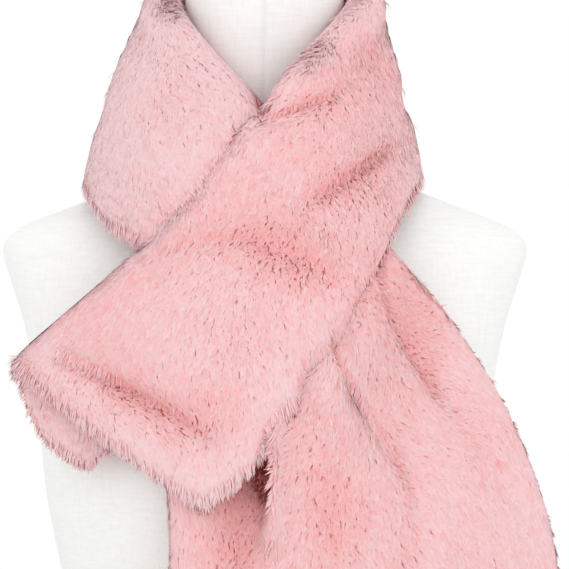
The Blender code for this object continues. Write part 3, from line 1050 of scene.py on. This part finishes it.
@dataclass
class Pile:
    """The fur itself: blades drawn together in tufts, shorter or taller, lying or on end."""

    blades: int = 415_000
    width: float = 1.2 * MM
    over: float = 0.3 * MM  # how far the tips pass the reach surface
    uneven: float = 0.12  # of that
    flat_length: float = 9.5 * MM  # of a blade where the pile lies
    upright_length: float = 4.6 * MM  # where it stands on end
    rim_length: float = 7.5 * MM  # and at the cloth's edges
    curl: float = 9.0  # degrees that each half turns off the mean lean of a blade halfway up
    flat_roll: float = 0.04  # how far a lying blade turns about its own length, in radians
    upright_roll: float = 0.19  # and one that stands on end
    free: float = 0.5  # how far the tips at an edge leave the reach surface, 0 to 1
    hollow_stand: float = 0.15  # how much more it stands in a hollow
    crease_stand: float = 0.2  # and in a crease
    tuft_blades: int = 5
    draw: float = 0.2  # how far a standing blade's tip is drawn to its tuft's
    length_varies: float = 0.18  # from blade to blade
    tuft_length_varies: float = 0.08  # and from tuft to tuft
    heading_varies: float = 0.08  # radians off the combed way, from blade to blade
    tuft_heading_varies: float = 0.12  # and from tuft to tuft
    upright_heading_varies: float = 0.45  # and where they stand on end
    mottle: float = 0.14  # how far tufts and blades differ in blush
    faded: float = 0.35  # painted light: how much blush the edges lose, paler as if lit through the thin tips
    seed: int = 7
    blade: Blade = field(default_factory=Blade)
    fur: FurFinish = field(default_factory=FurFinish)

    def grow(self, reach: Reach) -> list[Piece]:
        """Grows the pile.

        Args:
            reach: the surface and the ground under it.

        Returns:
            A piece for each stretch, or two where one would be too heavy.
        """
        chance = np.random.default_rng(self.seed)
        roots = self.sow(reach)
        material = self.fur.pile()
        template = self.blade.model()
        strands = self.shape(roots, reach, chance)
        most = 199_000 // len(template[2])
        pieces = []
        for index, stretch in enumerate(Stretch):
            of_it = np.flatnonzero(roots.stretch == index)
            shares = np.array_split(of_it, max(1, -(-len(of_it) // most)))
            for number, share in enumerate(shares):
                name = f"pile_{stretch.value}" + (f"_{number + 1}" if len(shares) > 1 else "")
                piece = self.woven(name, template, strands.some(share))
                piece.data.materials.append(material)
                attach(piece, BODY)
                pieces.append(piece)
                log.info("%s: %d blades", name, len(share))
        return pieces

    def sow(self, reach: Reach) -> Roots:
        """Spreads the roots over what can be seen of the fur, thickest where it is most open.

        Args:
            reach: the surface and the ground under it.

        Returns:
            The roots.
        """
        a, b, c = (reach.points[reach.triangles[:, k]] for k in range(3))
        area = np.linalg.norm(np.cross(b - a, c - a), axis=1) / 2
        open_share = reach.open[reach.triangles].mean(1)
        front = np.clip(0.35 - reach.outward[reach.triangles, 1].mean(1), 0, 1)
        want = area * np.clip((open_share - 0.03) / 0.12, 0, 1) * (0.62 + 0.5 * front)
        running = np.cumsum(want) * self.blades / want.sum()
        triangle = np.searchsorted(running, np.arange(self.blades) + 0.5)
        triangle = np.minimum(triangle, len(area) - 1)
        step = np.array([0.7548776662, 0.5698402910])  # spreads them evenly in each triangle
        share = (0.5 + np.arange(self.blades)[:, None] * step) % 1
        over = share.sum(1) > 1
        share[over] = 1 - share[over]
        weights = np.concatenate([1 - share.sum(1, keepdims=True), share], 1)[:, :, None]

        def read(values: Rows) -> Rows:
            """The values at the roots, from those at the corners."""
            rows = values.reshape(len(values), -1)[reach.triangles[triangle]]
            return (rows * weights).sum(1).reshape((self.blades,) + values.shape[1:])

        outward = unit(read(reach.outward))
        along = read(reach.lie[:, :3])
        along = unit(along - outward * (along * outward).sum(1, keepdims=True))
        depth = np.linalg.norm(read(reach.points) - read(reach.ground), axis=1)
        hollow = self.hollow_stand * np.clip(read(reach.hollow) / USUAL_HOLLOW, -1, 1)
        crease = self.crease_stand * np.clip(read(reach.crease), 0, 1)
        stand = np.clip(read(reach.lie[:, 3]) + hollow + crease, 0, 1)
        rim = np.clip(1.5 * read(reach.rim), 0, 1)
        ground, blush, stretch = read(reach.ground), read(reach.blush), reach.stretch[triangle]
        return Roots(ground, outward, along, stand, blush, depth, rim, stretch)

    def shape(self, roots: Roots, reach: Reach, chance: np.random.Generator) -> Strands:
        """Bends every blade over and draws it in with its tuft.

        Args:
            roots: where they start.
            reach: the surface that their tips come to.
            chance: the pile's own source of chance.

        Returns:
            The blades.
        """
        many = len(roots.at)
        tuft = self.tufts(roots, chance)
        of_tuft = chance.normal(size=(many, 4))[tuft]
        own = chance.normal(size=(many, 6))
        tall = roots.depth + self.over
        length = self.flat_length + (self.upright_length - self.flat_length) * roots.stand
        length += (self.rim_length - length) * np.clip(roots.rim, 0, 1)
        length *= 1 + self.length_varies * own[:, 0] + self.tuft_length_varies * of_tuft[:, 0]
        mean = np.arccos(np.clip(tall / length, 0.05, 0.97))
        curl = math.radians(self.curl) * (0.5 + roots.stand)
        turn = self.tuft_heading_varies * of_tuft[:, 1] + self.heading_varies * own[:, 1]
        turn += self.upright_heading_varies * roots.stand * of_tuft[:, 2]
        across = np.cross(roots.along, roots.outward)
        heading = roots.along * np.cos(turn)[:, None] + across * np.sin(turn)[:, None]

        def step(angle: Rows) -> Rows:
            """Half the blade's length at this lean."""
            way = roots.outward * np.cos(angle)[:, None] + heading * np.sin(angle)[:, None]
            return way * (0.5 * length)[:, None]

        waist = roots.at + step(np.maximum(mean - curl, 0.05))
        tip = waist + step(np.minimum(mean + curl, 1.5))
        draw = np.clip(self.draw * roots.stand + 0.05 * own[:, 3], 0, 0.9)[:, None]
        tip = tip + (tip[tuft] - tip) * draw
        waist = waist + (waist[tuft] - waist) * 0.4 * draw
        high = self.over * (1 + self.uneven * (own[:, 2] + of_tuft[:, 3]))
        high += 2 * MM * roots.rim * np.abs(of_tuft[:, 3])
        placed, under = self.laid(tip, high, reach)
        pull = (placed - tip) * (1 - self.free * roots.rim)[:, None]
        tip, waist = tip + pull, waist + 0.3 * pull
        run = unit(tip - roots.at)
        flat_side = unit(np.cross(run, roots.outward) + 0.15 * np.cross(heading, roots.outward))
        roll = (self.flat_roll + (self.upright_roll - self.flat_roll) * roots.stand) * own[:, 4]
        flat_side = flat_side * np.cos(roll)[:, None] + np.cross(run, flat_side) * np.sin(roll)[:, None]
        near = reach.triangles[under]
        tip_facing = np.where(under[:, None] < 0, roots.outward, unit(reach.outward[near].mean(1)))
        # the tip takes the blush where it lies, painted shade included
        blush = np.where(under < 0, roots.blush, 0.3 * roots.blush + 0.7 * reach.blush[near].mean(1))
        # painted light: the cloth's edges paler; tufts and blades differ in tone at random
        mottled = blush - self.faded * roots.rim + self.mottle * (of_tuft[:, 3] + own[:, 5])
        blush = np.clip(mottled, 0, np.maximum(blush, 1.0)) * 0.7
        return Strands(roots.at, waist, tip, flat_side, roots.outward, tip_facing, blush)

    def laid(self, tips: Rows, high: Rows, reach: Reach) -> tuple[Rows, Rows]:
        """Lays tips back on the reach surface where it curves away or towards them.

        Args:
            tips: the tips as they grew.
            high: how far over the surface each should end.
            reach: the surface.

        Returns:
            The tips' new places, and the triangle under each, or -1 far from the surface.
        """
        surface = BVHTree.FromPolygons(reach.points.tolist(), reach.triangles.tolist())
        placed, under = tips.copy(), np.full(len(tips), -1)
        for index, tip in enumerate(tips):
            near, way, triangle, _ = surface.find_nearest(tip, 4 * MM)
            if near is not None:
                placed[index] = near + way * high[index]
                under[index] = triangle
        return placed, under

    def tufts(self, roots: Roots, chance: np.random.Generator) -> Rows:
        """Gathers the blades in tufts.

        Args:
            roots: where they start.
            chance: the pile's own source of chance.

        Returns:
            For each blade the number of the one in the middle of its tuft.
        """
        middles = chance.permutation(len(roots.at))[: len(roots.at) // self.tuft_blades]
        spots = roots.at + roots.outward * 2 * MM
        tree = KDTree(len(middles))
        for index in middles:
            tree.insert(spots[index], int(index))
        tree.balance()
        return np.array([tree.find(spot)[1] for spot in spots])

    def woven(self, name: str, template: tuple[Rows, Rows, Rows], strands: Strands) -> Piece:
        """Lays a copy of the blade along every strand, all in one mesh.

        Args:
            name: the piece's name.
            template: the blade's corners across and along, and its triangles.
            strands: the blades as they lie.

        Returns:
            The new piece.
        """
        across, along, triangles = template
        root, waist, tip = (part[:, None] for part in (strands.root, strands.waist, strands.tip))
        flat_side = strands.flat_side[:, None]
        s = along[None, :, None]
        points = root + (waist - root) * np.clip(2 * s, 0, 1) + (tip - waist) * np.clip(2 * s - 1, 0, 1)
        points = points + flat_side * (across * self.width)[None, :, None]
        face = unit(np.cross(flat_side, np.where(s < 0.5, waist - root, tip - waist)))
        outward = strands.facing[:, None] * (1 - s) + strands.tip_facing[:, None] * s
        shown = unit(0.3 * face + 0.75 * outward)
        many, corners = len(root), len(across)
        loops = (triangles.ravel()[None] + corners * np.arange(many)[:, None]).ravel()
        mesh = bpy.data.meshes.new(name)
        mesh.vertices.add(many * corners)
        mesh.vertices.foreach_set("co", points.astype(np.float32).ravel())
        mesh.loops.add(len(loops))
        mesh.loops.foreach_set("vertex_index", loops.astype(np.int32))
        mesh.polygons.add(len(loops) // 3)
        mesh.polygons.foreach_set("loop_start", np.arange(0, len(loops), 3, dtype=np.int32))
        mesh.update(calc_edges=True)
        mesh.shade_smooth()
        places = np.empty((many, corners, 2), np.float32)
        places[..., 0] = np.clip(strands.blush, 0.02, 0.98)[:, None] + 0.02 * across
        places[..., 1] = 0.02 + 0.96 * along
        sheet = mesh.uv_layers.new(name=PILE_MAP)
        sheet.uv.foreach_set("vector", places.reshape(-1, 2)[loops].ravel())
        mesh.normals_split_custom_set_from_vertices(shown.reshape(-1, 3).astype(np.float32))
        return linked(name, mesh)


# ------------------------------------------------------------------ the studio
@dataclass
class Studio:
    """A pale floor, a white room and one large soft light from the front, low on the right."""

    aim: tuple[float, float, float] = (0.0134, -0.10, 0.451)
    distance: float = 2.6
    seen_width: float = 0.3721
    film: float = 36.0  # the camera's film, in millimetres
    floor_half: float = 2.6
    room_light: float = 1.0
    key_place: tuple[float, float, float] = (0.25, -2.8, 0.2)
    key_size: float = 2.4
    key_power: float = 20.5
    floor_colour: Colour = (0.86, 0.85, 0.84, 1.0)

    def build(self) -> None:
        """Sets the floor, the lights and the camera."""
        self.lay_floor()
        self.light()
        self.place_camera()

    def lay_floor(self) -> None:
        """Lays a plain matt floor with rounded-off corners far out of the way."""
        bpy.ops.object.select_all(action="DESELECT")
        bpy.ops.mesh.primitive_circle_add(vertices=64, radius=self.floor_half, fill_type="NGON")
        floor = bpy.context.active_object
        floor.name = "floor"
        recipe = Recipe("floor")
        recipe.shade(Base_Color=self.floor_colour, Roughness=0.9, Specular_IOR_Level=0.1)
        floor.data.materials.append(recipe.material)

    def light(self) -> None:
        """Hangs the key light and whitens the room."""
        lamp = bpy.data.lights.new("key", "AREA")
        lamp.shape = "SQUARE"
        lamp.size = self.key_size
        lamp.energy = self.key_power
        lamp.color = (1.0, 0.97, 0.95)
        key = linked("key", lamp)
        key.location = self.key_place
        towards = Vector(self.aim) - Vector(self.key_place)
        key.rotation_euler = towards.to_track_quat("-Z", "Y").to_euler()
        world = bpy.data.worlds.new("white_room")
        world.use_nodes = True
        background = world.node_tree.nodes["Background"]
        background.inputs["Color"].default_value = (1.0, 1.0, 1.0, 1.0)
        background.inputs["Strength"].default_value = self.room_light
        bpy.context.scene.world = world
        bpy.context.scene.view_settings.view_transform = "Standard"

    def place_camera(self) -> None:
        """Stands the camera straight in front, level with the chest, with a long lens."""
        lens = bpy.data.cameras.new("camera")
        lens.sensor_width = self.film
        lens.lens = self.film * self.distance / self.seen_width
        lens.clip_start, lens.clip_end = 0.05, 30.0
        camera = linked("camera", lens)
        camera.location = Vector(self.aim) - Vector((0, self.distance, 0))
        camera.rotation_euler = (math.pi / 2, 0, 0)
        bpy.context.scene.camera = camera


def main() -> None:
    """Builds the object and its studio, piece by piece."""
    logging.basicConfig(level=logging.INFO, format="%(name)s: %(message)s")
    Studio().build()
    cover = DressForm().build()
    log.info("%s: %d faces", cover.name, len(cover.data.polygons))
    backing = Backing()
    shell, reach = backing.build()
    log.info("%s: %d faces", shell.name, len(shell.data.polygons))
    pile = Pile().grow(reach)


if __name__ == "__main__":
    main()
